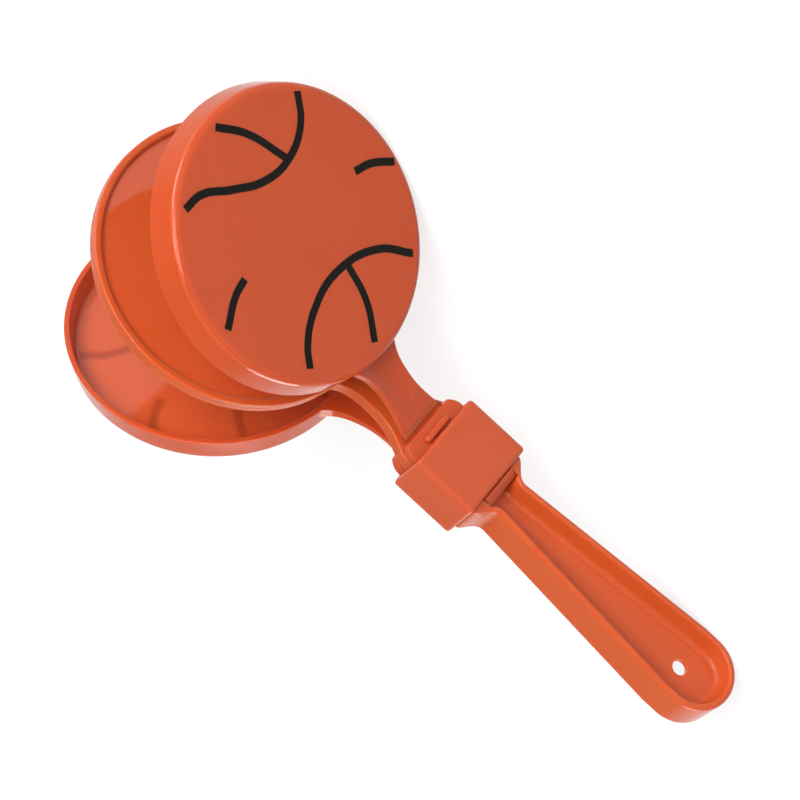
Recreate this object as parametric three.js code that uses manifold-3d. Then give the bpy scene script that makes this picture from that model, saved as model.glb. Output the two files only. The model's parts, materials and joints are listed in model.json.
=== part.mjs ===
// Hand clapper: a handle moulded in one with its middle paddle, a cupped paddle on each
// side of it that swings on a thin crease, and a square collar that holds both on the neck.
// Millimetres. X runs from the handle to the heads, -Y is the front, Z is across the width.
import * as THREE from 'three';
import { mergeVertices } from 'three/addons/utils/BufferGeometryUtils.js';
import Module from 'manifold-3d';

const wasm = await Module();
wasm.setup();

// Heads
const headRadius = 37;
const headReach = 71.2; // middle of the collar to the centre of the heads
const roundSteps = 72; // facets round a head

// Middle head: a web with a raised rim on both sides
const middleThickness = 3.8;
const middleWeb = 1.4;
const middleRimWidth = 1.8;
const middleRimSlope = 0.5; // how far the rim's inner wall leans outwards
const partingRidge = 0.12; // how far the mould's parting line stands proud
const rimRound = 0.35;

// Outer heads: shallow cups whose lips strike the middle head
const cupDepth = 8;
const cupWall = 1.4;
const cupFaceThickness = 1.5;
const cupDraft = 1.5; // the wall leans in by this much from lip to face
const cupCornerRadius = 1.7;
const strikeGap = 0.15; // left between lip and rim when a cup is closed
const lipRound = 0.3;

// Arms between the crease and the heads
const armBaseWidth = 14.4;
const armWaistWidth = 9.8;
const armWaistReach = 12; // crease to the narrowest place
const armFlareWidth = 23; // where the arm has run into the head
const armOverlap = 4.3; // how far the arm runs into the head
const armThickness = 1; // an outer arm beside its crease
const armHeadThickness = 2.4; // an outer arm's edges where they meet its cup
const armFlatReach = 3.3; // crease to where the edges start to rise
const armLipLead = 3; // the arm's inner face meets the lip over this length
const channelRadius = 23; // the shallow trough along an outer arm, as low as its flat part
const middleArmProud = 0.5; // how far the middle arm stands out beside the outer arms

// Crease, where tab and arm meet in a thin bendable strip
const creaseReach = 13.5; // middle of the collar to the crease
const creaseInset = 0.2; // the bending line lies this far into the tab from its inner face
const creaseGap = 0.5;
const creaseOpening = 40; // degrees that the groove leaves the paddle to open
const creaseTabLean = 8; // the groove's wall on the tab leans back by this many degrees
const creaseBandWidth = 1.2; // a low band along the arm's side of the groove
const creaseBandHeight = 0.2;
const frontSplay = 19; // degrees that the front paddle stands open
const rearSplay = 26.5;

// Neck inside the collar, with a pocket on each side for the stem of a tab
const fitGap = 0.3; // between pieces that seat on each other
const neckWidth = 20.2;
const neckDepth = 11.6;
const neckTop = 7.9; // the full neck ends here, above the middle of the collar
const pegRadius = 1.8;
const pegClearance = 0.4;
const pegReach = 1.5; // middle of the collar to the peg
const pegDrop = 0.4; // the peg ends this far below the stem's face

// Tabs: a head with rounded ears above the collar and a stem down through it
const tabThickness = 2.8;
const tabWidth = 20.4;
const tabEndWidth = 15.6; // beside the crease
const earLength = 4; // the ears are rounded over this length before the crease
const earFullness = 0.52; // the share of that length after which the ear's curve is aimed
const stemWidth = 11.2;
const stemEnd = 11.5; // the stem's end shows below the collar
const barbHeight = 0.7; // the snap barb that keeps the collar from sliding down
const barbCrest = 0.5;
const ribLength = 9.2;
const ribWidth = 1.6;
const ribHeight = 1.4;
const ribRound = 0.6;

// Collar
const collarLength = 17.8;
const collarWall = 1.4;
const collarCorner = 1.3;
const collarInnerCorner = 0.3;
const collarEdge = 1;

// Handle: an I-section with a hollow along both faces, which starts where the stem ends
const shoulderReach = 9; // middle of the collar to where the shoulder turns in
const waistReach = 14.6;
const waistWidth = 11.2;
const gripWidth = 20.5;
const gripParallel = 4.4; // the handle keeps its full width for this far before its round end
const gripEndReach = 84.6;
const gripRound = 1; // outer edge of the rim
const hollowRim = 1.8;
const hollowRound = 0.7; // inner edge of the rim
const hollowSlope = 0.6; // how far the hollow's side leans in on its way down
const hollowFillet = 1.6; // where the side runs into the floor
const hollowCorner = 0.7; // the corners beside the stem's end
const gripWeb = 1.4;
const hangHoleRadius = 1.95;
const hangHoleFromEnd = 13;

// Values worked out from the sizes above
const neckHalf = neckDepth / 2;
const tabInner = middleThickness / 2 + fitGap;
const tabOuter = tabInner + tabThickness;
const stemOuter = neckHalf; // the stem lies flush with the neck
const neckRise = collarLength / 2 + fitGap; // just clear of the collar's ends, where rib and barb stand
const creaseDepth = tabInner + creaseInset;
const armCreaseSlope = Math.tan(THREE.MathUtils.degToRad(creaseOpening / 2));
const tabCreaseSlope = Math.tan(THREE.MathUtils.degToRad(creaseTabLean));
const collarInnerDepth = neckDepth + 2 * fitGap;
const collarInnerWidth = neckWidth + 2 * fitGap;
const lipReach = middleThickness / 2 + strikeGap;
const radians = THREE.MathUtils.degToRad;

// Solid modelling helpers

// Makes a closed solid of a geometry, turning its faces outwards
function solidOf(geometry) {
  const bare = geometry.clone();
  bare.deleteAttribute('normal');
  bare.deleteAttribute('uv');
  const merged = mergeVertices(bare, 1e-4);
  const place = merged.attributes.position;
  const index = merged.index.array;
  const corners = [new THREE.Vector3(), new THREE.Vector3(), new THREE.Vector3()];
  const triangles = [];
  let volume = 0;
  for (let i = 0; i < index.length; i += 3) {
    const [a, b, c] = [index[i], index[i + 1], index[i + 2]];
    if (a === b || b === c || c === a) continue;
    corners.forEach((corner, k) => corner.fromBufferAttribute(place, index[i + k]));
    volume += corners[0].dot(corners[1].clone().cross(corners[2]));
    triangles.push([a, b, c]);
  }
  const order = volume < 0 ? triangles.map(([a, b, c]) => [a, c, b]) : triangles;
  const mesh = new wasm.Mesh({
    numProp: 3,
    vertProperties: new Float32Array(place.array),
    triVerts: new Uint32Array(order.flat()),
  });
  return new wasm.Manifold(mesh);
}

function geometryOf(solid) {
  const { vertProperties, triVerts } = solid.getMesh();
  const geometry = new THREE.BufferGeometry();
  geometry.setAttribute('position', new THREE.BufferAttribute(vertProperties, 3));
  geometry.setIndex(new THREE.BufferAttribute(triVerts, 1));
  geometry.computeVertexNormals();
  return geometry;
}

// The same solid seen in a mirror that lies along the handle, front to back
function mirrored(solid) {
  const geometry = geometryOf(solid);
  geometry.scale(1, -1, 1);
  return solidOf(geometry);
}

const joined = (first, ...others) => others.reduce((sum, solid) => sum.add(solid), first);
const cut = (first, ...others) => others.reduce((rest, solid) => rest.subtract(solid), first);

// A flat outline in X and Z, made solid from one Y to another
function slab(shape, fromY, toY, curveSegments = 12) {
  const geometry = new THREE.ExtrudeGeometry(shape, {
    depth: toY - fromY,
    bevelEnabled: false,
    curveSegments,
  });
  geometry.rotateX(Math.PI / 2);
  geometry.translate(0, toY, 0);
  return solidOf(geometry);
}

// A side view in X and Y, made solid across the width
function sideSlab(points, width) {
  const shape = new THREE.Shape(points.map(([x, y]) => new THREE.Vector2(x, y)));
  const geometry = new THREE.ExtrudeGeometry(shape, { depth: width, bevelEnabled: false });
  geometry.translate(0, 0, -width / 2);
  return solidOf(geometry);
}

// A profile of radius and Y, turned about the line through the head's centre
function turned(profile, centreX, steps = roundSteps) {
  const points = profile.map(([radius, y]) => new THREE.Vector2(radius, y));
  const geometry = new THREE.LatheGeometry(points, steps);
  geometry.translate(centreX, 0, 0);
  return solidOf(geometry);
}

// A stack of outlines with as many points each, closed at both ends
function stacked(layers) {
  const count = layers[0].outline.length;
  const positions = layers.flatMap(({ outline, y }) => outline.flatMap(({ x, y: z }) => [x, y, z]));
  const index = [];
  for (let layer = 0; layer + 1 < layers.length; layer += 1) {
    for (let i = 0; i < count; i += 1) {
      const low = layer * count + i;
      const lowNext = layer * count + ((i + 1) % count);
      index.push(low, lowNext, low + count, lowNext, lowNext + count, low + count);
    }
  }
  const top = (layers.length - 1) * count;
  for (const [a, b, c] of THREE.ShapeUtils.triangulateShape(layers[0].outline, [])) {
    index.push(c, b, a);
  }
  for (const [a, b, c] of THREE.ShapeUtils.triangulateShape(layers.at(-1).outline, [])) {
    index.push(top + a, top + b, top + c);
  }
  const geometry = new THREE.BufferGeometry();
  geometry.setAttribute('position', new THREE.Float32BufferAttribute(positions, 3));
  geometry.setIndex(index);
  return solidOf(geometry);
}

// Quarter round from one side of a corner to the other, as profile points
function cornerRound(centreR, centreY, radius, fromDegrees, toDegrees, steps = 4) {
  const points = [];
  for (let i = 0; i <= steps; i += 1) {
    const angle = radians(fromDegrees + ((toDegrees - fromDegrees) * i) / steps);
    points.push([centreR + radius * Math.cos(angle), centreY + radius * Math.sin(angle)]);
  }
  return points;
}

// Runs an arm's outline on from its waist to where it has flared into the head
function flareOut(path, waistX, waist) {
  const flare = armFlareWidth / 2;
  const flareX = headReach - headRadius + armOverlap;
  const length = flareX - waistX;
  path.bezierCurveTo(waistX + 0.38 * length, waist, flareX - 0.31 * length, 0.48 * flare, flareX, flare);
}

// Outline of an outer arm, from just before the crease: wide there, waisted, and flared at the head
function outerArmOutline() {
  const x = creaseReach;
  const base = armBaseWidth / 2;
  const waist = armWaistWidth / 2;
  const waistX = x + armWaistReach;
  const turnIn = 0.4 * armWaistReach;
  const path = new THREE.Path();
  path.moveTo(x - 1, base);
  path.lineTo(x, base);
  path.bezierCurveTo(x + turnIn, base - 0.55 * (base - waist), waistX - turnIn, waist, waistX, waist);
  flareOut(path, waistX, waist);
  return twoSided(path.getPoints(9));
}

// Outline of the middle arm, which runs from the neck's width to its waist in one long S
function middleArmOutline() {
  const base = neckWidth / 2;
  const waist = armWaistWidth / 2 + middleArmProud;
  const waistX = creaseReach + armWaistReach;
  const length = waistX - neckRise;
  const path = new THREE.Path();
  path.moveTo(0, base);
  path.lineTo(neckRise, base);
  path.bezierCurveTo(neckRise + 0.3 * length, base, waistX - 0.6 * length, waist, waistX, waist);
  flareOut(path, waistX, waist);
  return twoSided(path.getPoints(9));
}

// The half outline and its mirror image across the handle, as one closed shape
function twoSided(half) {
  const other = half.map((point) => new THREE.Vector2(point.x, -point.y)).reverse();
  return new THREE.Shape([...half, ...other]);
}

// Half the handle's width at a place along it
function gripHalfWidth(x) {
  const reach = -x;
  if (reach <= shoulderReach) return neckWidth / 2;
  if (reach < waistReach) {
    const share = (reach - shoulderReach) / (waistReach - shoulderReach);
    return (waistWidth + (neckWidth - waistWidth) * (1 - share ** 1.5) ** 2) / 2;
  }
  const wideReach = gripEndReach - gripWidth / 2 - gripParallel;
  const share = Math.min(1, (reach - waistReach) / (wideReach - waistReach));
  return THREE.MathUtils.lerp(waistWidth, gripWidth, share) / 2;
}

// The handle's outline from startX to its round end, drawn in by inset
function gripOutline(startX, inset, startCorner) {
  const endRadius = gripWidth / 2;
  const endX = -gripEndReach + endRadius;
  const stations = 7;
  const half = [];
  const place = (x, width) => half.push(new THREE.Vector2(x, width));
  if (startCorner) place(startX, gripHalfWidth(startX) - inset - startCorner);
  place(startX - startCorner, gripHalfWidth(startX - startCorner) - inset);
  const shoulder = Math.min(startX - startCorner, -shoulderReach);
  for (let i = 0; i <= stations; i += 1) {
    const x = THREE.MathUtils.lerp(shoulder, -waistReach, (i + 0.5) / (stations + 0.5));
    place(x, gripHalfWidth(x) - inset);
  }
  place(endX + gripParallel, gripWidth / 2 - inset);
  const steps = 12;
  for (let i = 0; i < steps; i += 1) {
    const angle = (Math.PI / 2) * (i / steps);
    place(endX - (endRadius - inset) * Math.sin(angle), (endRadius - inset) * Math.cos(angle));
  }
  const other = half.map((point) => new THREE.Vector2(point.x, -point.y)).reverse();
  return [...half, new THREE.Vector2(-gripEndReach + inset, 0), ...other];
}

// Handle and neck, one moulding with the middle paddle
function gripSolid() {
  const layer = (y, inset) => ({ outline: gripOutline(neckTop, inset, 0), y });
  const edge = [0, 30, 60, 90].map((degrees) => {
    const angle = radians(degrees);
    return [gripRound * (1 - Math.cos(angle)), neckHalf - gripRound * (1 - Math.sin(angle))];
  });
  return stacked([
    ...edge.toReversed().map(([inset, y]) => layer(-y, inset)),
    layer(0, -partingRidge),
    ...edge.map(([inset, y]) => layer(y, inset)),
  ]);
}

function gripHollow() {
  const floorY = gripWeb / 2;
  const foot = hollowRim + hollowSlope;
  const layer = ([inset, y]) => ({ outline: gripOutline(-stemEnd, inset, hollowCorner), y });
  return stacked([
    ...cornerRound(foot + hollowFillet, floorY + hollowFillet, hollowFillet, 270, 180, 3).map(layer),
    ...cornerRound(hollowRim - hollowRound, neckHalf - hollowRound, hollowRound, 0, 90, 3).map(layer),
    layer([hollowRim - hollowRound, neckHalf + 0.1]),
  ]);
}

// The pocket in the neck where a tab's stem lies, with the peg that holds the stem
function stemPocket() {
  const half = stemWidth / 2 + fitGap;
  const shape = new THREE.Shape();
  shape.moveTo(-stemEnd - fitGap, -half);
  shape.lineTo(neckTop + 1, -half);
  shape.lineTo(neckTop + 1, half);
  shape.lineTo(-stemEnd - fitGap, half);
  const pegTop = stemOuter - pegDrop;
  const peg = new THREE.CylinderGeometry(pegRadius, pegRadius, pegTop, 24);
  peg.translate(pegReach, pegTop / 2, 0);
  return cut(slab(shape, tabInner - fitGap, neckHalf + 1), solidOf(peg));
}

function middleHead() {
  const rim = middleThickness / 2;
  const web = middleWeb / 2;
  const inner = headRadius - middleRimWidth;
  const side = (sign) => [
    [inner - middleRimSlope, sign * web],
    [inner, sign * (rim - rimRound / 2)],
    [inner + rimRound / 2, sign * rim],
    [headRadius - rimRound, sign * rim],
    [headRadius - partingRidge, sign * (rim - rimRound)],
  ];
  return turned([[0, -web], ...side(-1), [headRadius, 0], ...side(1).reverse(), [0, web]], headReach);
}

function middleArm() {
  const half = middleThickness / 2;
  const plan = slab(middleArmOutline(), -half, half);
  const insideRim = headRadius - middleRimWidth / 2;
  const clear = turned([[0, -neckHalf], [insideRim, -neckHalf], [insideRim, neckHalf], [0, neckHalf]], headReach);
  return cut(plan, clear);
}

function handleSolid() {
  const holeX = -gripEndReach + hangHoleFromEnd;
  const hole = new THREE.CylinderGeometry(hangHoleRadius, hangHoleRadius, neckDepth, 24);
  hole.translate(holeX, 0, 0);
  const rearCuts = gripHollow().add(stemPocket());
  const body = cut(gripSolid(), rearCuts, mirrored(rearCuts), solidOf(hole));
  return joined(body, middleArm(), middleHead());
}

// One outer paddle as it lies when closed, on the rear side of the middle one (+Y).
// It is drawn about the crease, so that a turn of the paddle is a turn about its own origin
function paddleSolid() {
  const lip = lipReach;
  const face = lip + cupDepth;
  const lean = (y) => (cupDraft * (y - lip)) / (cupDepth - cupCornerRadius);
  const cornerR = headRadius - cupDraft - cupCornerRadius;
  const outside = turned([
    [0, lip], [headRadius - lipRound, lip], [headRadius, lip + lipRound],
    ...cornerRound(cornerR, face - cupCornerRadius, cupCornerRadius, 0, 90), [0, face],
  ], headReach);
  const floorY = face - cupFaceThickness;
  const innerCorner = 1;
  const wallR = (y) => headRadius - cupWall - lean(y);
  const cavity = turned([
    [0, lip - 1], [wallR(lip), lip - 1], [wallR(lip), lip],
    ...cornerRound(wallR(floorY - innerCorner) - innerCorner, floorY - innerCorner, innerCorner, 0, 90, 3),
    [0, floorY],
  ], headReach);
  return cut(joined(outside, outerArm()), cavity);
}

function outerArm() {
  const rootX = creaseReach + creaseGap / 2;
  const cupX = headReach - headRadius;
  const endX = cupX + armOverlap;
  const outer = tabInner + armThickness;
  const riseX = creaseReach + armFlatReach;
  const top = tabInner + armHeadThickness;
  const plan = slab(outerArmOutline(), 0, top + 1);
  const side = sideSlab([
    [rootX, tabInner], [cupX - armLipLead, tabInner], [cupX, lipReach + 0.1], [endX, lipReach + 0.1],
    [endX, top], [cupX, top], [riseX, outer], [rootX, outer],
  ], 2 * headRadius);
  const trough = new THREE.CylinderGeometry(channelRadius, channelRadius, 2 * headRadius, 144);
  trough.rotateZ(Math.PI / 2);
  trough.translate(creaseReach, outer + channelRadius, 0);
  const scoop = solidOf(trough).intersect(slab(outerArmOutline(), outer, top + 1));
  const bandTop = outer + creaseBandHeight;
  const bandEnd = rootX + armCreaseSlope * (bandTop - creaseDepth) + creaseBandWidth;
  const band = sideSlab([
    [rootX, tabInner], [bandEnd, tabInner], [bandEnd, outer], [bandEnd - creaseBandHeight, bandTop],
    [rootX, bandTop],
  ], 2 * headRadius);
  const groove = sideSlab([
    [rootX - 1, creaseDepth], [rootX, creaseDepth], [rootX + armCreaseSlope * (top - creaseDepth), top],
    [rootX - 1, top],
  ], 2 * headRadius);
  return cut(joined(cut(plan.intersect(side), scoop), plan.intersect(band)), groove);
}

// One tab, drawn on the rear side (+Y): the head above the collar, the stem in the neck's pocket.
// The stem ends in a barb below the collar, and slopes from its crest to the hollow
function tabSolid() {
  const headX = neckTop + fitGap;
  const barbTop = stemOuter + barbHeight;
  const stem = sideSlab([
    [-stemEnd, tabInner], [headX + 1, tabInner], [headX + 1, tabOuter], [headX, stemOuter],
    [-neckRise, stemOuter], [-neckRise, barbTop], [-neckRise - barbCrest, barbTop],
    [-stemEnd, tabOuter],
  ], stemWidth);
  const holeRadius = pegRadius + pegClearance;
  const hole = new THREE.CylinderGeometry(holeRadius, holeRadius, 4 * neckDepth, 24);
  hole.translate(pegReach, 0, 0);
  return joined(cut(stem, solidOf(hole)), tabHead(), tabRib());
}

function tabHead() {
  const half = tabWidth / 2;
  const low = neckTop + fitGap;
  const path = new THREE.Path();
  path.moveTo(low, half);
  path.lineTo(creaseReach - earLength, half);
  path.quadraticCurveTo(creaseReach - (1 - earFullness) * earLength, half, creaseReach, tabEndWidth / 2);
  const endX = creaseReach - creaseGap / 2;
  const side = sideSlab([
    [low, tabInner], [endX, tabInner], [endX, creaseDepth],
    [endX - tabCreaseSlope * (tabOuter - creaseDepth), tabOuter], [low, tabOuter],
  ], 2 * tabWidth);
  return slab(twoSided(path.getPoints(8)), tabInner - 1, tabOuter + 1).intersect(side);
}

// The rib that keeps the collar from sliding up, a low oval ridge across the tab
function tabRib() {
  const radius = ribWidth / 2;
  const x = neckRise + radius;
  const reach = ribLength / 2 - radius;
  const shape = new THREE.Shape();
  shape.absarc(x, reach, radius, 0, Math.PI, false);
  shape.absarc(x, -reach, radius, Math.PI, 2 * Math.PI, false);
  const geometry = new THREE.ExtrudeGeometry(shape, {
    depth: ribHeight + tabThickness / 2,
    bevelThickness: ribRound,
    bevelSize: ribRound,
    bevelOffset: -ribRound,
    bevelSegments: 3,
    curveSegments: 8,
  });
  geometry.rotateX(Math.PI / 2);
  geometry.translate(0, tabOuter + ribHeight - ribRound, 0);
  return solidOf(geometry);
}

// Collar: a square sleeve round neck and tabs
function roundedBox(width, depth, corner) {
  const shape = new THREE.Shape();
  const w = width / 2 - corner;
  const d = depth / 2 - corner;
  shape.absarc(d, w, corner, 0, Math.PI / 2, false);
  shape.absarc(-d, w, corner, Math.PI / 2, Math.PI, false);
  shape.absarc(-d, -w, corner, Math.PI, 1.5 * Math.PI, false);
  shape.absarc(d, -w, corner, 1.5 * Math.PI, 2 * Math.PI, false);
  return shape;
}

function sleeve(shape, length, edge) {
  const geometry = new THREE.ExtrudeGeometry(shape, {
    depth: length - 2 * edge,
    bevelEnabled: edge > 0,
    bevelThickness: edge,
    bevelSize: edge,
    bevelOffset: -edge,
    bevelSegments: 3,
    curveSegments: 6,
  });
  geometry.translate(0, 0, -length / 2 + edge);
  geometry.rotateX(Math.PI / 2);
  geometry.rotateZ(-Math.PI / 2);
  return solidOf(geometry);
}

function collarSolid() {
  const around = 2 * collarWall;
  const outer = roundedBox(collarInnerWidth + around, collarInnerDepth + around, collarCorner);
  const inner = roundedBox(collarInnerWidth, collarInnerDepth, collarInnerCorner);
  return cut(sleeve(outer, collarLength, collarEdge), sleeve(inner, 2 * collarLength, 0));
}

// Materials: one orange plastic, named apart so that each piece keeps its own
const plastic = (color) => new THREE.MeshStandardMaterial({ color, roughness: 0.32, metalness: 0 });

function meshOf(name, solid, color) {
  const mesh = new THREE.Mesh(geometryOf(solid), plastic(color));
  mesh.name = name;
  return mesh;
}

// A paddle on its crease: the group stands at the crease and turns by the splay
function hungPaddle(name, solid, side, splay) {
  const crease = new THREE.Group();
  crease.position.set(creaseReach, side * creaseDepth, 0);
  crease.rotation.z = side * radians(splay);
  const geometry = geometryOf(solid);
  geometry.translate(-creaseReach, -side * creaseDepth, 0);
  const mesh = new THREE.Mesh(geometry, plastic(0xe2562b));
  mesh.name = name;
  crease.add(mesh);
  return crease;
}

// The way down that lets both cups and the handle's end touch one level surface
function standingDown(clapper, names) {
  clapper.updateMatrixWorld(true);
  const clouds = names.map((name) => {
    const mesh = clapper.getObjectByName(name);
    const place = mesh.geometry.attributes.position;
    const points = [];
    for (let i = 0; i < place.count; i += 1) {
      points.push(new THREE.Vector3().fromBufferAttribute(place, i).applyMatrix4(mesh.matrixWorld));
    }
    return name === 'handle' ? points.filter((point) => point.x < -waistReach) : points;
  });
  const reach = (down) => clouds.map((points) => Math.max(...points.map((point) => point.dot(down))));
  const downAt = (a, b) => new THREE.Vector3(a, b, -1).normalize();
  let [a, b] = [0, 0];
  const step = 1e-4;
  for (let round = 0; round < 12; round += 1) {
    const miss = (p, q) => {
      const [front, rear, grip] = reach(downAt(p, q));
      return [front - grip, rear - grip];
    };
    const [f, g] = miss(a, b);
    const [fa, ga] = miss(a + step, b).map((value, k) => (value - [f, g][k]) / step);
    const [fb, gb] = miss(a, b + step).map((value, k) => (value - [f, g][k]) / step);
    const area = fa * gb - fb * ga;
    a -= (f * gb - g * fb) / area;
    b -= (g * fa - f * ga) / area;
  }
  return downAt(a, b);
}

// Assembly
const clapper = new THREE.Group();
const paddle = paddleSolid();
const tab = tabSolid();
clapper.add(
  meshOf('handle', handleSolid(), 0xe4602f),
  meshOf('collar', collarSolid(), 0xdc5d35),
  meshOf('front_hinge_tab', mirrored(tab), 0xd85730),
  meshOf('rear_hinge_tab', tab, 0xd85730),
  hungPaddle('front_paddle', mirrored(paddle), -1, frontSplay),
  hungPaddle('rear_paddle', paddle, 1, rearSplay),
);

// Stood on its edge: the cups and the handle's end on the ground, the middle of its box over the origin
const down = standingDown(clapper, ['front_paddle', 'rear_paddle', 'handle']);
clapper.quaternion.setFromUnitVectors(down, new THREE.Vector3(0, 0, -1));
clapper.updateMatrixWorld(true);
const box = new THREE.Box3().setFromObject(clapper, true);
const middle = box.getCenter(new THREE.Vector3());
clapper.position.set(-middle.x, -middle.y, -box.min.z);
clapper.updateMatrixWorld(true);

export default clapper;
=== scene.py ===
import json
import math
import bmesh
import bpy
from mathutils import Matrix, Vector


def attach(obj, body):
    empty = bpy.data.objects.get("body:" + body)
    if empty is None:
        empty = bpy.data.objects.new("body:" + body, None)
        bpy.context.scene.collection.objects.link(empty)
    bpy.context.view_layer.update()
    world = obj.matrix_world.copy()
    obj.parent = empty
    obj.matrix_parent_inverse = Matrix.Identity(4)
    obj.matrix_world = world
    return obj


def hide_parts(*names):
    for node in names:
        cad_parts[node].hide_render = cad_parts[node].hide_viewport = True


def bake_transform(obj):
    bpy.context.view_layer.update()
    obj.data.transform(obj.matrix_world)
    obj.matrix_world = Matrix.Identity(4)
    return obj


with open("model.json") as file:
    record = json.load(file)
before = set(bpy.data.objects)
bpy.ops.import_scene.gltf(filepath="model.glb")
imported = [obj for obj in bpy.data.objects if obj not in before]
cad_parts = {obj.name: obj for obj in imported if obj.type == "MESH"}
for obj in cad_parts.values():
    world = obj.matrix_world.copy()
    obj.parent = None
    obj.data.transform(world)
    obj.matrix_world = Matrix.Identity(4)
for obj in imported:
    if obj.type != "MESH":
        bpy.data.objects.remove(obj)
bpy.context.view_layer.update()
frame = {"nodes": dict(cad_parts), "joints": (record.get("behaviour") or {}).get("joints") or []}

print("frame loaded:", sorted(frame["nodes"]))

# The clapper's own axes: X from the handle to the heads, -Y the front, Z across the width.
# They come from the two creases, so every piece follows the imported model. Sizes are in mm.
mm = 0.001
creaseReach = 13.5  # middle of the collar to the creases
splay = {"front": 19.0, "rear": 26.5}  # degrees that the paddles stand open
sideSign = {"front": -1, "rear": 1}
head = {"radius": 37.0, "reach": 71.2}  # the three heads share these
roundBow = 0.5523  # a bezier quarter circle's handle, as a share of its radius
spare = 2  # what is drawn too long at a join or a cut
past = {"x": 50, "y": 20, "width": 60}  # where the cutters end, well outside the clapper's arms
detail = {"turnSteps": 192, "cornerSegments": 6, "outlineSteps": 16, "outlineRound": 3, "same": 1e-4}


def clapperPlace():
    joints = {joint["name"]: joint for joint in frame["joints"]}
    front, rear = (Vector(joints[name]["pos_m"]) for name in ("front_crease", "rear_crease"))
    across = Vector(joints["rear_crease"]["axis"]).normalized()
    back = (rear - front).normalized()
    along = back.cross(across)
    turn = Matrix((along, back, across)).transposed().to_4x4()
    middle = (front + rear) / 2 - along * creaseReach * mm
    return Matrix.Translation(middle) @ turn @ Matrix.Scale(mm, 4), (rear - front).length / 2 / mm


toRow, creaseDepth = clapperPlace()


def creaseTurn(side, degrees):  # a turn about one crease, opening outwards
    pivot = Vector((creaseReach, sideSign[side] * creaseDepth, 0))
    turn = Matrix.Rotation(sideSign[side] * math.radians(degrees), 4, "Z")
    return Matrix.Translation(pivot) @ turn @ Matrix.Translation(-pivot)


# Small tools for making pieces

def newPiece(name, bm):
    mesh = bpy.data.meshes.new(name)
    bm.to_mesh(mesh)
    bm.free()
    piece = bpy.data.objects.new(name, mesh)
    bpy.context.scene.collection.objects.link(piece)
    return piece


def cleanMesh(bm, distance=detail["same"]):
    bmesh.ops.remove_doubles(bm, verts=bm.verts, dist=distance)
    bmesh.ops.recalc_face_normals(bm, faces=bm.faces)


def roundEdges(bm, edges, offset, segments=3):
    bmesh.ops.bevel(bm, geom=edges, offset=offset, affect="EDGES", segments=segments, profile=0.5, material=-1)


def drawOut(bm, faces, way):
    drawn = bmesh.ops.extrude_face_region(bm, geom=faces)
    moved = [item for item in drawn["geom"] if isinstance(item, bmesh.types.BMVert)]
    bmesh.ops.translate(bm, verts=moved, vec=way)


def turnedPiece(name, corners, steps=detail["turnSteps"]):  # radius, height and rounding, about a head's middle
    bm = bmesh.new()
    verts = [bm.verts.new((radius, height, 0)) for radius, height, _ in corners]
    for a, b in zip(verts, verts[1:]):
        bm.edges.new((a, b))
    for vert, (_, _, rounding) in zip(verts, corners):
        if rounding:
            bmesh.ops.bevel(bm, geom=[vert], offset=rounding, offset_type="OFFSET", affect="VERTICES",
                            segments=detail["cornerSegments"], profile=0.5, material=-1)
    bmesh.ops.spin(bm, geom=bm.verts[:] + bm.edges[:], cent=(0, 0, 0), axis=(0, 1, 0),
                   angle=math.tau, steps=steps, use_merge=True)
    cleanMesh(bm)
    bmesh.ops.translate(bm, verts=bm.verts, vec=(head["reach"], 0, 0))
    return newPiece(name, bm)


def curveMesh(curve):
    holder = bpy.data.objects.new(curve.name, curve)
    bpy.context.scene.collection.objects.link(holder)
    mesh = bpy.data.meshes.new_from_object(holder.evaluated_get(bpy.context.evaluated_depsgraph_get()))
    bpy.data.objects.remove(holder)
    bm = bmesh.new()
    bm.from_mesh(mesh)
    bpy.data.meshes.remove(mesh)
    return bm


def outlineMesh(knots, steps, thickness=0.0, rounding=0.0):  # a filled bezier outline, lying in X and Z
    curve = bpy.data.curves.new("outline", "CURVE")
    curve.dimensions = "2D"
    curve.fill_mode = "BOTH"
    curve.resolution_u = steps
    curve.extrude = thickness / 2 - rounding
    curve.bevel_depth = rounding
    curve.bevel_resolution = detail["outlineRound"]
    curve.offset = -rounding
    spline = curve.splines.new("BEZIER")
    spline.use_cyclic_u = True
    spline.bezier_points.add(len(knots) - 1)
    for point, (x, z, before, after) in zip(spline.bezier_points, knots):
        point.co = (x, z, 0)
        point.handle_left_type = "FREE" if before else "VECTOR"
        point.handle_right_type = "FREE" if after else "VECTOR"
        point.handle_left = (x + before[0], z + before[1], 0) if before else (x, z, 0)
        point.handle_right = (x + after[0], z + after[1], 0) if after else (x, z, 0)
    bm = curveMesh(curve)
    bmesh.ops.rotate(bm, verts=bm.verts, cent=(0, 0, 0), matrix=Matrix.Rotation(math.pi / 2, 3, "X"))
    bmesh.ops.remove_doubles(bm, verts=bm.verts, dist=10 * detail["same"])
    return bm


def outlinePiece(name, knots, low, high, rounding, steps=detail["outlineSteps"]):  # a plate with rounded edges
    bm = outlineMesh(knots, steps, high - low, rounding)
    bmesh.ops.translate(bm, verts=bm.verts, vec=(0, (low + high) / 2, 0))
    cleanMesh(bm)
    return newPiece(name, bm)


def bothSides(half):  # the outline's other half, mirrored across the handle
    other = [(x, -z, after and (after[0], -after[1]), before and (before[0], -before[1]))
             for x, z, before, after in reversed(half) if z != 0]
    return half + other


def blockPiece(name, low, high, rounding=0.0):
    bm = bmesh.new()
    bmesh.ops.create_cube(bm, size=1)
    bmesh.ops.scale(bm, verts=bm.verts, vec=[b - a for a, b in zip(low, high)])
    bmesh.ops.translate(bm, verts=bm.verts, vec=[(a + b) / 2 for a, b in zip(low, high)])
    if rounding:
        roundEdges(bm, bm.edges[:], rounding)
    return newPiece(name, bm)


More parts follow.
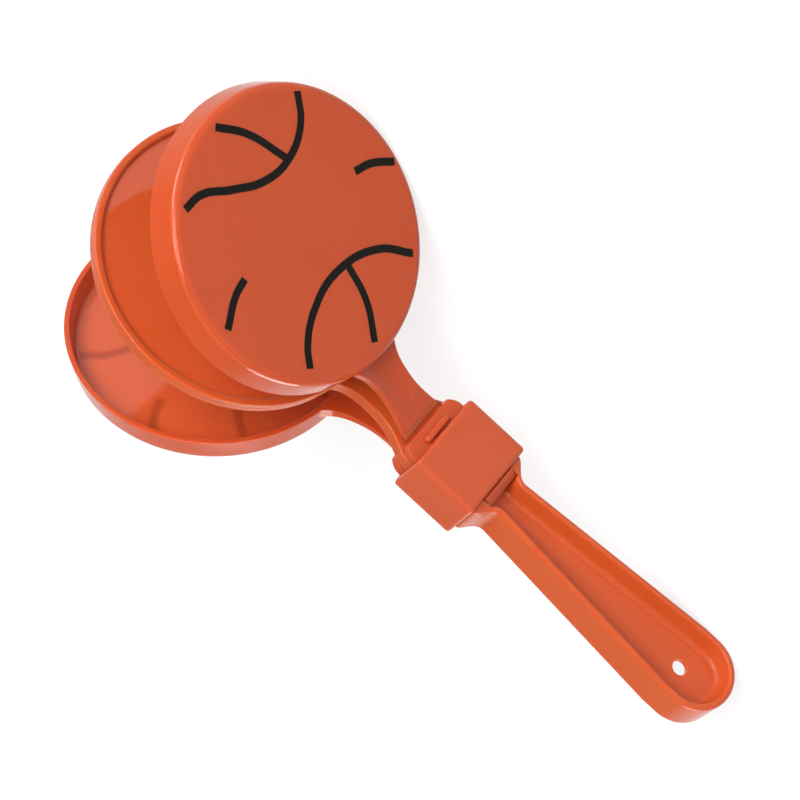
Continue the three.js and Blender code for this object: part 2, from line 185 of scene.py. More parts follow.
def wedgePiece(name, corners, width=past["width"], rounding=0.0):  # a side view in X and Y, drawn out across
    bm = bmesh.new()
    face = bm.faces.new([bm.verts.new((x, y, -width / 2)) for x, y in corners])
    drawOut(bm, [face], (0, 0, width))
    cleanMesh(bm)
    if rounding:
        roundEdges(bm, bm.edges[:], rounding)
    return newPiece(name, bm)


def barPiece(name, radius, place, length, axis, segments=64):
    bm = bmesh.new()
    bmesh.ops.create_cone(bm, cap_ends=True, segments=segments, radius1=radius, radius2=radius, depth=length)
    turn = {"X": Matrix.Rotation(math.pi / 2, 3, "Y"), "Y": Matrix.Rotation(math.pi / 2, 3, "X")}[axis]
    bmesh.ops.rotate(bm, verts=bm.verts, cent=(0, 0, 0), matrix=turn)
    bmesh.ops.translate(bm, verts=bm.verts, vec=place)
    return newPiece(name, bm)


def settled(piece):  # the piece with its modifiers worked into its mesh
    mesh = bpy.data.meshes.new_from_object(piece.evaluated_get(bpy.context.evaluated_depsgraph_get()))
    old = piece.data
    piece.modifiers.clear()
    piece.data = mesh
    bpy.data.meshes.remove(old)
    return piece


def shaped(piece, operation, *others):
    for other in others:
        change = piece.modifiers.new("shape", "BOOLEAN")
        change.operation = operation
        change.solver = "EXACT"
        change.object = other
        settled(piece)
        bpy.data.objects.remove(other)
    return piece


def mirroredCopy(piece, name):  # the same piece for the front
    bm = bmesh.new()
    bm.from_mesh(piece.data)
    bmesh.ops.scale(bm, verts=bm.verts, vec=(1, -1, 1))
    cleanMesh(bm)
    return newPiece(name, bm)


finishing = {"weld": 2e-3, "sharp": math.radians(35), "lowRidge": 0.12, "edgeSegments": 2, "faceWeight": 80}


def finishPiece(piece, material, body, nodes=(), edge=0.0, turn=None, polishedPaintedLight=None, ridged=None):
    mesh, f = piece.data, finishing
    bm = bmesh.new()
    bm.from_mesh(mesh)
    cleanMesh(bm, f["weld"])
    bmesh.ops.dissolve_degenerate(bm, dist=f["weld"], edges=bm.edges)
    bm.edges.index_update()
    lowRidges = [
        e.index for e in bm.edges
        if ridged and ridged((e.verts[0].co + e.verts[1].co) / 2) and e.calc_face_angle(0) > f["lowRidge"]
    ]
    bm.to_mesh(mesh)
    bm.free()
    # faces that get the polished finish with its painted light
    bright = [face.index for face in mesh.polygons if polishedPaintedLight and polishedPaintedLight(face.center)]
    mesh.transform((toRow @ turn) if turn else toRow)
    for face in mesh.polygons:
        face.use_smooth = True
    mesh.set_sharp_from_angle(angle=f["sharp"])
    for index in lowRidges:
        mesh.edges[index].use_edge_sharp = True
    if edge:
        soften = piece.modifiers.new("softEdge", "BEVEL")
        soften.width = edge * mm
        soften.segments = f["edgeSegments"]
        soften.limit_method = "ANGLE"
        soften.angle_limit = f["sharp"]
        soften.use_clamp_overlap = True
        soften.harden_normals = False
    level = piece.modifiers.new("evenShade", "WEIGHTED_NORMAL")
    level.keep_sharp = True
    level.weight = f["faceWeight"]
    mesh.materials.clear()
    mesh.materials.append(material)
    if bright:
        mesh.materials.append(polishedPaintedLightPlastic)
    for index in bright:
        mesh.polygons[index].material_index = 1
    if body:
        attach(piece, body)
    if nodes:
        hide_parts(*nodes)
    return piece


# Finishes
surface = {
    "flow": {"Scale": 38, "Detail": 3, "Distortion": 0.4}, "wear": {"Scale": 90, "Detail": 3}, "skin": {"Detail": 2},
    "spread": {"From Min": 0.2, "From Max": 0.8},
}
plastic = {"Subsurface Radius": (1.0, 0.6, 0.4), "Subsurface Scale": 0.0018, "IOR": 1.49}
skinDepth = 0.0002
mixColours = {"factor": 0, "first": 6, "second": 7, "result": 2}  # the colour sockets of a Mix node


def node(tree, kind, inputs=None, **values):
    made = tree.nodes.new(kind)
    for name, value in values.items():
        setattr(made, name, value)
    return filled(made, inputs or {})


def filled(made, inputs):
    for socket, value in inputs.items():
        made.inputs[socket].default_value = value
    return made


def mouldedSurface():  # colour flow, roughness and the faint skin of a moulded plastic
    group = bpy.data.node_groups.new("mouldedSurface", "ShaderNodeTree")
    for way, kind, names in (("INPUT", "Color", ("Colour", "Flow Colour")),
                             ("INPUT", "Float", ("Flow", "Rough Low", "Rough High", "Skin Scale")),
                             ("OUTPUT", "Color", ("Colour",)), ("OUTPUT", "Float", ("Roughness", "Height"))):
        for name in names:
            group.interface.new_socket(name, in_out=way, socket_type="NodeSocket" + kind)
    inside, outside = node(group, "NodeGroupInput"), node(group, "NodeGroupOutput")
    place = node(group, "ShaderNodeTexCoord")
    flow, wear, skin = (node(group, "ShaderNodeTexNoise", surface[name]) for name in ("flow", "wear", "skin"))
    spread, wearSpread = (
        node(group, "ShaderNodeMapRange", surface["spread"], interpolation_type="SMOOTHSTEP") for _ in range(2))
    amount = node(group, "ShaderNodeMath", operation="MULTIPLY")
    blend = node(group, "ShaderNodeMix", data_type="RGBA")
    link = group.links.new
    for texture in (flow, wear, skin):
        link(place.outputs["Object"], texture.inputs["Vector"])
    link(flow.outputs["Fac"], spread.inputs["Value"])
    link(spread.outputs["Result"], amount.inputs[0])
    link(inside.outputs["Flow"], amount.inputs[1])
    link(amount.outputs[0], blend.inputs[mixColours["factor"]])
    link(inside.outputs["Colour"], blend.inputs[mixColours["first"]])
    link(inside.outputs["Flow Colour"], blend.inputs[mixColours["second"]])
    link(blend.outputs[mixColours["result"]], outside.inputs["Colour"])
    link(wear.outputs["Fac"], wearSpread.inputs["Value"])
    link(inside.outputs["Rough Low"], wearSpread.inputs["To Min"])
    link(inside.outputs["Rough High"], wearSpread.inputs["To Max"])
    link(wearSpread.outputs["Result"], outside.inputs["Roughness"])
    link(inside.outputs["Skin Scale"], skin.inputs["Scale"])
    link(skin.outputs["Fac"], outside.inputs["Height"])
    return group


surfaceGroup = mouldedSurface()


def finish(name, look):
    material = bpy.data.materials.new(name)
    material.use_nodes = True
    material.diffuse_color = (*look["colour"], 1)
    tree = material.node_tree
    shader = filled(tree.nodes["Principled BSDF"], plastic)
    filled(shader, {
        "Subsurface Weight": look["subsurface"], "Specular IOR Level": look["specular"],
        "Alpha": look.get("alpha", 1.0),
    })
    moulded = node(tree, "ShaderNodeGroup", node_tree=surfaceGroup)
    filled(moulded, {
        "Colour": (*look["colour"], 1), "Flow Colour": (*look["flowColour"], 1), "Flow": look["flow"],
        "Rough Low": look["rough"][0], "Rough High": look["rough"][1], "Skin Scale": look["skinScale"],
    })
    bump = node(tree, "ShaderNodeBump", {"Strength": look["skin"], "Distance": skinDepth})
    tree.links.new(moulded.outputs["Colour"], shader.inputs["Base Color"])
    tree.links.new(moulded.outputs["Roughness"], shader.inputs["Roughness"])
    tree.links.new(moulded.outputs["Height"], bump.inputs["Height"])
    tree.links.new(bump.outputs["Normal"], shader.inputs["Normal"])
    return material


paddleLook = {
    "colour": (0.58, 0.084, 0.018), "flowColour": (0.54, 0.072, 0.014), "flow": 0.5,
    "rough": (0.13, 0.2), "skin": 0.04, "skinScale": 700.0, "subsurface": 0.85, "specular": 0.28,
}
polishedPaintedLightLook = dict(  # polished inside the cups and on the middle web, and painted lighter there: painted light for the light that comes through the thin wall
    paddleLook, colour=(0.63, 0.108, 0.028), flowColour=(0.58, 0.092, 0.022),
    rough=(0.05, 0.09), skin=0.02, specular=0.55)
handleLook = dict(paddleLook, colour=(0.62, 0.108, 0.024), flowColour=(0.56, 0.09, 0.018))
collarLook = dict(paddleLook, colour=(0.58, 0.1, 0.032), flowColour=(0.53, 0.085, 0.025), rough=(0.24, 0.28))
stripLook = dict(paddleLook, subsurface=0.0)  # buried at both ends, so no light runs through it
inkLook = {
    "colour": (0.008, 0.007, 0.006), "flowColour": (0.014, 0.012, 0.01), "flow": 0.6,
    "rough": (0.3, 0.42), "skin": 0.05, "skinScale": 1500.0, "subsurface": 0.0, "specular": 0.06,
}
shadeLook = dict(  # painted shade: the print's shadow, seen faintly through the thin face from inside the cup
    polishedPaintedLightLook, colour=(0.09, 0.02, 0.01), flowColour=(0.07, 0.016, 0.008), subsurface=0.0, alpha=0.11)
paddlePlastic = finish("paddlePlastic", paddleLook)
# the polished finish also carries painted light, as a lighter colour than the paddle's
polishedPaintedLightPlastic = finish("polishedPaintedLightPlastic", polishedPaintedLightLook)
handlePlastic = finish("handlePlastic", handleLook)
collarPlastic = finish("collarPlastic", collarLook)
stripPlastic = finish("stripPlastic", stripLook)
blackInk = finish("blackInk", inkLook)
inkShade = finish("inkShade", shadeLook)
print("finishes made")

# The arms' sizes. Bows and leads are the lengths of bezier handles, as shares of what they turn.
arm = {
    "baseHalf": 7.2, "waistHalf": 4.9, "waistReach": 25.5, "flareHalf": 11.5, "overlap": 4.3,
    "innerY": 2.2, "thin": 1.0, "riseReach": 16.8, "edgeAtHead": 2.4, "troughRadius": 12.5,
    "bandWidth": 1.2, "bandHeight": 0.2, "bandSlope": 0.2, "middleProud": 0.5, "middleRound": 0.35,
    "waistLead": 0.38, "flareLead": 0.31, "flareBow": 0.52, "creaseLead": 0.4, "creaseBow": 0.55,
    "neckLead": 0.3, "neckBow": 0.6, "steps": 24,
}


def flareKnots(waistHalf, intoWaist):  # an arm's outline from its waist to where it has run into the head
    flareX = head["reach"] - head["radius"] + arm["overlap"]
    length = flareX - arm["waistReach"]
    return [
        (arm["waistReach"], waistHalf, (-intoWaist, 0), (arm["waistLead"] * length, 0)),
        (flareX, arm["flareHalf"], (-arm["flareLead"] * length, -arm["flareBow"] * arm["flareHalf"]), None),
    ]


def outerArmHalf():  # one side of an outer arm's outline, wide at the crease
    turnIn = arm["creaseLead"] * (arm["waistReach"] - creaseReach)
    drop = arm["baseHalf"] - arm["waistHalf"]
    atCrease = (creaseReach, arm["baseHalf"], None, (turnIn, -arm["creaseBow"] * drop))
    return [(creaseReach - spare, arm["baseHalf"], None, None), atCrease] + flareKnots(arm["waistHalf"], turnIn)


def middleArmHalf(startHalf, riseX):  # one side of the middle arm's, one long S from the neck
    length = arm["waistReach"] - riseX
    neck = [(0, startHalf, None, None), (riseX, startHalf, None, (arm["neckLead"] * length, 0))]
    return neck + flareKnots(arm["waistHalf"] + arm["middleProud"], arm["neckBow"] * length)


stem = {"half": 5.6, "end": 11.5, "fitGap": 0.3}  # the tabs' stems, and their pockets in the neck

# The handle with its neck and the middle paddle
handle = {
    "neckHalf": 10.1, "neckTop": 7.9, "shoulderReach": 9.0, "waistReach": 14.6, "waistHalf": 5.6,
    "shoulderBows": (1.8, 2.8), "recessMouth": (7.6, 11.2),
    "gripHalf": 10.25, "endReach": 84.6, "parallel": 4.4, "halfDepth": 5.8, "edge": 1.0,
    "rim": 1.8, "crest": 0.7, "slope": 0.6, "web": 1.4, "fillet": 1.6, "roundSteps": 5,
    "holeRadius": 1.95, "holeFromEnd": 13.0, "steps": 20, "recessSteps": 18,
    "middleThickness": 3.8, "middleWeb": 1.4, "rimWidth": 1.8, "rimLean": 0.5, "rimRound": 0.45, "webRound": 0.35,
    "partingRidge": 0.1, "partingHalf": 0.12, "riseX": 9.2, "sunken": 0.3,
}


def gripOutline():
    h = handle
    endX = -h["endReach"] + h["gripHalf"]
    bow = roundBow * h["gripHalf"]
    outOf, into = h["shoulderBows"]
    return bothSides([
        (h["neckTop"], h["neckHalf"], None, None),
        (-h["shoulderReach"], h["neckHalf"], None, (-outOf, 0)),
        (-h["waistReach"], h["waistHalf"], (into, 0), None),
        (endX + h["parallel"], h["gripHalf"], None, None),
        (endX, h["gripHalf"], None, (-bow, 0)),
        (-h["endReach"], 0, (0, bow), (0, -bow)),
    ])


def recessOutline():
    h = handle
    inset = h["rim"] - h["crest"]
    wide = h["gripHalf"] - inset
    endX = -h["endReach"] + h["gripHalf"]
    bow = roundBow * wide
    mouthX, mouthZ = h["recessMouth"]
    return bothSides([
        (-mouthX, mouthZ, None, None),
        (-h["waistReach"], h["waistHalf"] - inset, (h["shoulderBows"][1], 0), None),
        (endX + h["parallel"], wide, None, None),
        (endX, wide, None, (-bow, 0)),
        (endX - wide, 0, (0, bow), (0, -bow)),
    ])


def recessSteps():  # how far each step goes inwards and down: rounded rim, drafted wall, rounded floor
    crest, fillet, count = handle["crest"], handle["fillet"], handle["roundSteps"]
    wall = handle["halfDepth"] - handle["web"] / 2 - crest - fillet
    angles = [math.radians(90 * k / count) for k in range(count + 1)]
    bends = [(math.sin(b) - math.sin(a), math.cos(a) - math.cos(b)) for a, b in zip(angles, angles[1:])]
    rim = [(crest * across, crest * down) for across, down in bends]
    floor = [(fillet * down, fillet * across) for across, down in bends]
    return rim + [(handle["slope"], wall)] + floor


def recessCutter():  # open towards the neck, where the stem ends
    h = handle
    bm = outlineMesh(recessOutline(), h["recessSteps"])
    bmesh.ops.translate(bm, verts=bm.verts, vec=(0, h["halfDepth"], 0))
    bmesh.ops.dissolve_faces(bm, faces=bm.faces[:])
    face = next(iter(bm.faces))
    face.normal_update()
    if face.normal.y < 0:
        face.normal_flip()
    for inwards, down in recessSteps():
        bmesh.ops.inset_region(bm, faces=[face], thickness=inwards, depth=-down,
                               use_even_offset=True, use_boundary=True)
    raised = bmesh.ops.extrude_edge_only(bm, edges=[e for e in bm.edges if e.is_boundary])
    top = [item for item in raised["geom"] if isinstance(item, bmesh.types.BMVert)]
    bmesh.ops.translate(bm, verts=top, vec=(0, spare, 0))
    bmesh.ops.edgeloop_fill(bm, edges=[e for e in bm.edges if e.is_boundary])
    bmesh.ops.bisect_plane(bm, geom=bm.verts[:] + bm.edges[:] + bm.faces[:], plane_co=(-stem["end"], 0, 0),
                           plane_no=(1, 0, 0), clear_outer=True)
    bmesh.ops.edgeloop_fill(bm, edges=[e for e in bm.edges if e.is_boundary])
    cleanMesh(bm)
    return newPiece("recess", bm)


def pocketCutter():  # where a tab's stem lies
    h = handle
    half = stem["half"] + stem["fitGap"]
    return blockPiece("pocket", (-stem["end"] - stem["fitGap"], h["middleThickness"] / 2, -half),
                      (h["neckTop"] + spare, h["halfDepth"] + spare, half))


def makeMiddle():  # the middle paddle's rim and web, with the mould's parting line round its edge
    h = handle
    half, web = h["middleThickness"] / 2, h["middleWeb"] / 2
    inner, outer = head["radius"] - h["rimWidth"], head["radius"] - h["partingRidge"]
    upper = [
        (head["radius"], 0, 0), (outer, h["partingHalf"], 0), (outer, half, h["rimRound"]),
        (inner, half, h["rimRound"]), (inner - h["rimLean"], web, h["webRound"]), (0, web, 0),
    ]
    lower = [(radius, -height, rounding) for radius, height, rounding in reversed(upper[1:])]
    return turnedPiece("middle", lower + upper)


def makeMiddleArm():
    half = handle["middleThickness"] / 2
    knots = bothSides(middleArmHalf(handle["neckHalf"], handle["riseX"]))
    limb = outlinePiece("limb", knots, -half, half, arm["middleRound"])
    inside = head["radius"] - handle["rimWidth"] / 2
    low, high = -past["y"], past["y"]
    clear = turnedPiece("clear", [(0, low, 0), (inside, low, 0), (inside, high, 0), (0, high, 0)])
    return shaped(limb, "DIFFERENCE", clear)


def makeHandle():
    h = handle
    grip = outlinePiece("handleMoulding", gripOutline(), -h["halfDepth"], h["halfDepth"], h["edge"], h["steps"])
    for sign in (1, -1):
        cutters = recessCutter(), pocketCutter()
        for cutter in cutters:
            if sign < 0:
                cutter.data.transform(Matrix.Scale(-1, 4, (0, 1, 0)))
                cutter.data.flip_normals()
        shaped(grip, "DIFFERENCE", *cutters)
    hole = barPiece("hole", h["holeRadius"], (-h["endReach"] + h["holeFromEnd"], 0, 0), 2 * spare, "Y")
    shaped(grip, "DIFFERENCE", hole)
    return shaped(grip, "UNION", makeMiddleArm(), makeMiddle())


def fromHeadMiddle(place):
    return math.hypot(place.x - head["reach"], place.z)


def onWeb(place):  # the middle paddle's two sunken faces
    inner, half = head["radius"] - handle["rimWidth"], handle["middleThickness"] / 2
    return fromHeadMiddle(place) < inner and abs(place.y) < half - handle["sunken"]


# the middle web gets the polished finish with painted light
finishPiece(makeHandle(), handlePlastic, "handle_body", ["handle"], polishedPaintedLight=onWeb)
print("handle made")

# The cupped paddles, drawn closed on the rear side and then opened
cup = {
    "strikeGap": 0.15, "depth": 8.0, "wall": 1.4, "face": 1.5, "lean": 1.5, "innerLean": 1.2, "corner": 1.75,
    "lip": 0.35, "floorRound": 1.0, "creaseLean": 20.0, "tabLean": 8.0, "creaseGap": 0.5, "steps": 240,
}
lipY = handle["middleThickness"] / 2 + cup["strikeGap"]
faceY = lipY + cup["depth"]


def makeShell():
    radius, floor = head["radius"], faceY - cup["face"]
    inner = radius - cup["wall"]
    return turnedPiece("paddle", [
        (0, faceY, 0), (radius - cup["lean"], faceY, cup["corner"]), (radius, lipY, cup["lip"]),
        (inner, lipY, cup["lip"]), (inner - cup["innerLean"], floor, cup["floorRound"]), (0, floor, 0),
    ], cup["steps"])


def creaseCutter(wallX, lean, farX):  # the groove's leaning wall, and all between it and farX
    slope, reach = math.tan(math.radians(lean)), past["y"]
    low, high = wallX - slope * (creaseDepth + reach), wallX + slope * (reach - creaseDepth)
    return wedgePiece("crease", [(farX, -reach), (low, -reach), (high, reach), (farX, reach)])


def makeBand(flat, rootX):  # the low band beside the crease
    bandTop = flat + arm["bandHeight"]
    end = rootX + math.tan(math.radians(cup["creaseLean"])) * (bandTop - creaseDepth) + arm["bandWidth"]
    top = end - arm["bandSlope"]
    band = outlinePiece("band", bothSides(outerArmHalf()), arm["innerY"], bandTop, 0.0, arm["steps"])
    return shaped(band, "DIFFERENCE", wedgePiece("beyond", [
        (end, 0), (past["x"], 0), (past["x"], past["y"]), (top, past["y"]), (top, bandTop), (end, flat)]))


def makeOuterArm():
    a = arm
    top, flat = a["innerY"] + a["edgeAtHead"], a["innerY"] + a["thin"]
    rootX = creaseReach + cup["creaseGap"] / 2
    cupX = head["reach"] - head["radius"]
    rise = (top - flat) / (cupX - a["riseReach"])
    limb = outlinePiece("limb", bothSides(outerArmHalf()), a["innerY"], top + spare, 0.0, a["steps"])
    above = wedgePiece("above", [
        (0, flat), (a["riseReach"], flat), (past["x"], flat + rise * (past["x"] - a["riseReach"])),
        (past["x"], past["y"]), (0, past["y"])])
    trough = barPiece("trough", a["troughRadius"], (cupX, flat + a["troughRadius"], 0), past["width"], "X",
                      cup["steps"])
    middleWall = head["radius"] - cup["wall"] / 2
    inside = turnedPiece("inside", [
        (0, -past["y"], 0), (middleWall, -past["y"], 0), (middleWall, lipY, 0),
        (middleWall - cup["lean"], faceY, 0), (0, faceY, 0)])
    shaped(limb, "DIFFERENCE", above, trough)
    shaped(limb, "UNION", makeBand(flat, rootX))
    return shaped(limb, "DIFFERENCE", creaseCutter(rootX, cup["creaseLean"], 0), inside)


def insideCup(place):  # the cup's floor and inner wall
    inner = head["radius"] - cup["wall"] + 100 * detail["same"]
    return fromHeadMiddle(place) < inner and abs(place.y) < faceY - cup["face"] / 2


def onArm(place):  # where the low ridges beside the trough stay crisp
    return creaseReach + 1 < place.x < head["reach"] - head["radius"]


rearPaddle = shaped(makeShell(), "UNION", makeOuterArm())
frontPaddle = mirroredCopy(rearPaddle, "frontPaddle")
rearPaddle.name = "rearPaddle"
# the cups' insides get the polished finish with painted light
for side, piece in (("rear", rearPaddle), ("front", frontPaddle)):
    finishPiece(piece, paddlePlastic, side + "_paddle_body", [side + "_paddle"],
                turn=creaseTurn(side, splay[side]), polishedPaintedLight=insideCup, ridged=onArm)
print("paddles made")

# The hinge tabs: a head above the collar, a stem down through it and a rib that stops the collar
tab = {
    "earHalf": 10.2, "earLength": 4.0, "earBows": (1.39, 1.28, 1.6), "endHalf": 7.8, "thick": 2.8, "headLow": 8.2,
    "edge": 0.3, "stemTop": 5.8, "stemLap": 1.0,
    "barbReach": 9.2, "barbHeight": 0.7, "barbCrest": 0.5, "barbRound": 0.25,
    "ribHalf": 4.6, "ribWidth": 1.8, "ribHeight": 1.4, "ribRoot": 1.2, "ribReach": 10.25, "ribRound": 0.65,
    "ribSteps": 12,
}


def makeTab():
    t = tab
    inner, outer = arm["innerY"], arm["innerY"] + t["thick"]
    outOf, into, inwards = t["earBows"]
    plate = outlinePiece("hingeTab", bothSides([
        (t["headLow"], t["earHalf"], None, None), (creaseReach - t["earLength"], t["earHalf"], None, (outOf, 0)),
        (creaseReach, t["endHalf"], (-into, inwards), None),
    ]), inner, outer, t["edge"])
    shaped(plate, "DIFFERENCE", creaseCutter(creaseReach - cup["creaseGap"] / 2, -cup["tabLean"], past["x"]))
    barbTop, crestEnd = t["stemTop"] + t["barbHeight"], -t["barbReach"] - t["barbCrest"]
    lapX = t["headLow"] + t["stemLap"]
    shaft = wedgePiece("shaft", [
        (-stem["end"], inner), (lapX, inner), (lapX, outer), (t["headLow"], t["stemTop"]),
        (-t["barbReach"], t["stemTop"]), (-t["barbReach"], barbTop), (crestEnd, barbTop), (-stem["end"], outer),
    ], 2 * stem["half"], t["barbRound"])
    return shaped(plate, "UNION", shaft, makeRib(outer))


def makeRib(foot):
    t = tab
    radius = t["ribWidth"] / 2
    x, reach, bow = t["ribReach"], t["ribHalf"] - radius, radius * roundBow
    knots = bothSides([
        (x - radius, reach, None, (0, bow)), (x, reach + radius, (-bow, 0), (bow, 0)),
        (x + radius, reach, (0, bow), None),
    ])
    return outlinePiece("rib", knots, foot - t["ribRoot"], foot + t["ribHeight"], t["ribRound"], t["ribSteps"])


rearTab = makeTab()
frontTab = mirroredCopy(rearTab, "frontHingeTab")
rearTab.name = "rearHingeTab"
for side, piece in (("rear", rearTab), ("front", frontTab)):
    finishPiece(piece, paddlePlastic, "handle_body", [side + "_hinge_tab"])
print("tabs made")

# The square collar
collar = {
    "length": 17.8, "innerHalf": 10.4, "innerDepth": 6.1, "wall": 1.4, "corner": 1.3, "cornerSegments": 6,
    "edge": 1.0, "edgeSegments": 5, "innerCorner": 0.3, "innerEdge": 0.2,
}


def lengthwise(edge):
    return abs(edge.verts[0].co.x - edge.verts[1].co.x) > 0.1


def makeCollar():
    c = collar
    half, depth = c["innerHalf"] + c["wall"], c["innerDepth"] + c["wall"]
    bm = bmesh.new()
    bmesh.ops.create_cube(bm, size=1)
    bmesh.ops.scale(bm, verts=bm.verts, vec=(c["length"], 2 * depth, 2 * half))
    roundEdges(bm, [e for e in bm.edges if lengthwise(e)], c["corner"], c["cornerSegments"])
    roundEdges(bm, [e for e in bm.edges if not lengthwise(e)], c["edge"], c["edgeSegments"])
    high = (c["length"], c["innerDepth"], c["innerHalf"])
    bore = blockPiece("bore", [-value for value in high], high, c["innerCorner"])
    return shaped(newPiece("squareCollar", bm), "DIFFERENCE", bore)


finishPiece(makeCollar(), collarPlastic, "handle_body", ["collar"], edge=collar["innerEdge"])
print("collar made")

# The thin strips that bend at the creases
strip = {"reach": 0.45, "half": 7.0, "thickness": 0.6, "lift": 0.02, "bend": 0.3, "pieces": (12, 6)}


def makeStrip(side):
    sign = sideSign[side]
    across, along = strip["pieces"]
    bm = bmesh.new()
    bmesh.ops.create_grid(bm, x_segments=across, y_segments=along, size=1)
    bmesh.ops.rotate(bm, verts=bm.verts, cent=(0, 0, 0), matrix=Matrix.Rotation(math.pi / 2, 3, "X"))
    bmesh.ops.scale(bm, verts=bm.verts, vec=(strip["reach"], 1, strip["half"]))
    bmesh.ops.translate(bm, verts=bm.verts, vec=(creaseReach, sign * (arm["innerY"] + strip["lift"]), 0))
    drawOut(bm, bm.faces[:], (0, sign * strip["thickness"], 0))
    for vert in bm.verts:
        share = min(1, max(0, (vert.co.x - creaseReach + strip["bend"]) / (2 * strip["bend"])))
        vert.co = creaseTurn(side, splay[side] * share * share * (3 - 2 * share)) @ vert.co
    cleanMesh(bm)
    return newPiece(side + "CreaseStrip", bm)


for side in ("front", "rear"):
    piece = finishPiece(makeStrip(side), stripPlastic, None)
    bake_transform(piece)
print("crease strips made")

# The seam lines printed on the outer faces, as along, across in mm from the middle of the head
ink = {
    "halfWidth": 1.0, "proud": 0.035, "shadeWide": 1.5, "shadeNarrow": 0.8, "shadeShare": 1 / 3,
    "steps": 14, "roundSteps": 5,
}
seams = {
    "RightSeam": [
        (24.3, -23.0), (18.3, -18.3), (14.5, -9.5), (15.2, -0.5), (19.6, 8.2), (24.2, 15.8), (24.5, 21.5)],
    "LeftSeam": [(-24.2, -22.0), (-16.9, -14.7), (-13.0, -1.5), (-14.8, 9.0), (-19.5, 17.0), (-24.0, 20.6)],
    "RightCross": [(32.8, 1.4), (26.1, -4.5), (15.2, -9.2)],
    "LeftCross": [(-13.6, -5.2), (-23.3, -3.3), (-31.8, 1.8)],
    "LowerCross": [(2.6, 20.0), (1.6, 24.5), (-2.6, 32.0)],
    "UpperCross": [(0.4, -22.6), (-1.2, -27.6), (-5.2, -33.4)],
}


def makeLine(side, name, runs, halfWidth, proud, height):  # raised lines on a paddle, at a height from its middle
    curve = bpy.data.curves.new(name, "CURVE")
    curve.dimensions = "3D"
    curve.resolution_u = ink["steps"]
    curve.bevel_depth = halfWidth
    curve.bevel_resolution = ink["roundSteps"]
    curve.use_fill_caps = True
    mirrored = -sideSign[side]  # each face shows the same picture when it is looked at
    for knots in runs:
        spline = curve.splines.new("BEZIER")
        spline.bezier_points.add(len(knots) - 1)
        for point, (along, across) in zip(spline.bezier_points, knots):
            point.co = (along, 0, across * mirrored)
            point.handle_left_type = point.handle_right_type = "AUTO"
    bm = curveMesh(curve)
    bmesh.ops.scale(bm, verts=bm.verts, vec=(1, proud / halfWidth, 1))
    bmesh.ops.translate(bm, verts=bm.verts, vec=(head["reach"], sideSign[side] * height, 0))
    cleanMesh(bm)
    return newPiece(side + name, bm)


for side in ("front", "rear"):
    turned = creaseTurn(side, splay[side])
    for name, knots in seams.items():
        line = makeLine(side, name, [knots], ink["halfWidth"], ink["proud"], faceY)
        finishPiece(line, blackInk, side + "_paddle_body", turn=turned)
    # painted shade of the print, drawn on the inner face where the print shows through
    for name, halfWidth in (("ShadeWide", ink["shadeWide"]), ("ShadeNarrow", ink["shadeNarrow"])):
        line = makeLine(side, name, seams.values(), halfWidth, ink["proud"] * ink["shadeShare"], faceY - cup["face"])
        finishPiece(line, inkShade, side + "_paddle_body", turn=turned)
print("seam lines made")

# Floor and light, in metres. The floor glows more from 0.3 to 1.2 m out, so that its far part is white.
stage = {
    "floorRadius": 3.0, "floor": {"Base Color": (0.36, 0.36, 0.36, 1), "Roughness": 0.9, "Specular IOR Level": 0.0},
    "glow": {"From Min": 0.3, "From Max": 1.2, "To Min": 0.7, "To Max": 1.0},
    "skyStrength": 0.38, "ceiling": {"From Min": 0.1, "From Max": 0.45, "To Min": 1.0, "To Max": 0.4},
}
lamps = {
    "keyLight": {"place": (0.32, -0.96, 0.89), "aim": (0, 0, 0.03), "size": 0.9, "power": 14.5},
    "fillLight": {"place": (-0.7, -0.9, 0.6), "aim": (0, 0, 0.03), "size": 1.2, "power": 2.0},
    "endLight": {"place": (0.95, -0.65, 0.5), "aim": (0.08, 0, 0.03), "size": 0.7, "power": 5.5},
    "backLight": {"place": (-1.05, 0.7, 0.4), "aim": (0, 0, 0.03), "size": 0.8, "power": 11.0},
}


def seenOnly(tree):  # 1 where the camera sees the surface, straight or in gloss and glass
    path = node(tree, "ShaderNodeLightPath")
    first = node(tree, "ShaderNodeMath", operation="MAXIMUM")
    both = node(tree, "ShaderNodeMath", operation="MAXIMUM")
    tree.links.new(path.outputs["Is Camera Ray"], first.inputs[0])
    tree.links.new(path.outputs["Is Glossy Ray"], first.inputs[1])
    tree.links.new(first.outputs[0], both.inputs[0])
    tree.links.new(path.outputs["Is Transmission Ray"], both.inputs[1])
    return both.outputs[0]


def makeFloor():
    bm = bmesh.new()
    bmesh.ops.create_circle(bm, cap_ends=True, segments=64, radius=stage["floorRadius"])
    floor = newPiece("floor", bm)
    material = bpy.data.materials.new("paleFloor")
    material.use_nodes = True
    tree = material.node_tree
    shader = filled(tree.nodes["Principled BSDF"], stage["floor"])
    place = node(tree, "ShaderNodeTexCoord")
    distance = node(tree, "ShaderNodeVectorMath", operation="LENGTH")
    glow = node(tree, "ShaderNodeMapRange", stage["glow"], interpolation_type="SMOOTHSTEP")
    tree.links.new(place.outputs["Object"], distance.inputs[0])
    tree.links.new(distance.outputs["Value"], glow.inputs["Value"])
    tree.links.new(glow.outputs["Result"], shader.inputs["Emission Color"])
    tree.links.new(seenOnly(tree), shader.inputs["Emission Strength"])
    floor.data.materials.append(material)


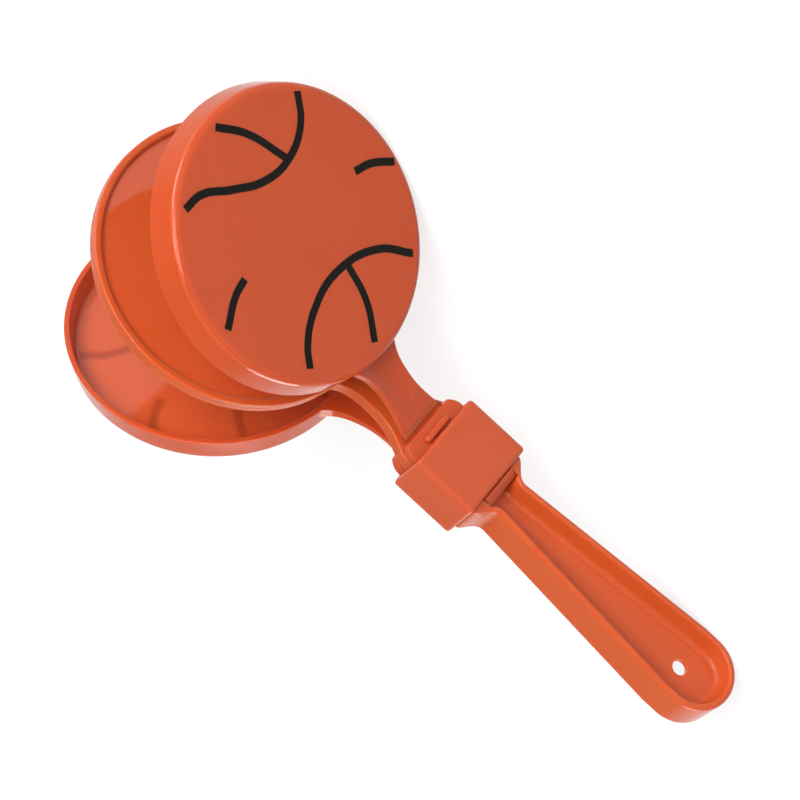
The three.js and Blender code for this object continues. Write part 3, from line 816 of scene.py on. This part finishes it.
def makeWorld():  # an even sky for light, a white backdrop for the eye, and a dimmer ceiling in the gloss
    world = bpy.data.worlds.new("studio")
    bpy.context.scene.world = world
    world.use_nodes = True
    tree = world.node_tree
    background = filled(tree.nodes["Background"], {"Color": (1, 1, 1, 1)})
    path = node(tree, "ShaderNodeLightPath")
    direction = node(tree, "ShaderNodeTexCoord")
    height = node(tree, "ShaderNodeSeparateXYZ")
    ceiling = node(tree, "ShaderNodeMapRange", stage["ceiling"], interpolation_type="SMOOTHSTEP")
    inGloss = node(tree, "ShaderNodeMix", {"A": 1.0}, data_type="FLOAT")
    strength = node(tree, "ShaderNodeMix", {"A": stage["skyStrength"]}, data_type="FLOAT")
    tree.links.new(direction.outputs["Generated"], height.inputs["Vector"])
    tree.links.new(height.outputs["Z"], ceiling.inputs["Value"])
    tree.links.new(path.outputs["Is Glossy Ray"], inGloss.inputs["Factor"])
    tree.links.new(ceiling.outputs["Result"], inGloss.inputs["B"])
    tree.links.new(seenOnly(tree), strength.inputs["Factor"])
    tree.links.new(inGloss.outputs["Result"], strength.inputs["B"])
    tree.links.new(strength.outputs["Result"], background.inputs["Strength"])


def softLamp(name, values):
    lamp = bpy.data.lights.new(name, "AREA")
    lamp.shape = "DISK"
    lamp.size = values["size"]
    lamp.energy = values["power"]
    holder = bpy.data.objects.new(name, lamp)
    holder.location = values["place"]
    way = Vector(values["aim"]) - Vector(values["place"])
    holder.rotation_euler = way.to_track_quat("-Z", "Y").to_euler()
    bpy.context.scene.collection.objects.link(holder)


makeFloor()
makeWorld()
for name, values in lamps.items():
    softLamp(name, values)

# The photograph's camera, in the clapper's own axes and mm
camera = {
    "place": (79.85, -851.6, 518.5), "right": (-0.73361, -0.39074, -0.55604), "up": (0.67705, -0.34932, -0.64779),
    "lens": 188.9, "sensor": 36, "near": 0.05, "far": 20,
}


def makeCamera():
    data = bpy.data.cameras.new("camera")
    data.lens, data.sensor_width = camera["lens"], camera["sensor"]
    data.clip_start, data.clip_end = camera["near"], camera["far"]
    holder = bpy.data.objects.new("camera", data)
    turn = (toRow.to_3x3() @ Matrix.Scale(1 / mm, 3)).normalized()
    right, up = turn @ Vector(camera["right"]), turn @ Vector(camera["up"])
    right.normalize()
    backwards = right.cross(up).normalized()
    facing = Matrix((right, backwards.cross(right), backwards)).transposed().to_4x4()
    holder.matrix_world = Matrix.Translation(toRow @ Vector(camera["place"])) @ facing
    bpy.context.scene.collection.objects.link(holder)
    bpy.context.scene.camera = holder


makeCamera()
bpy.context.scene.view_settings.view_transform = "Standard"
print("stage, light and camera made")
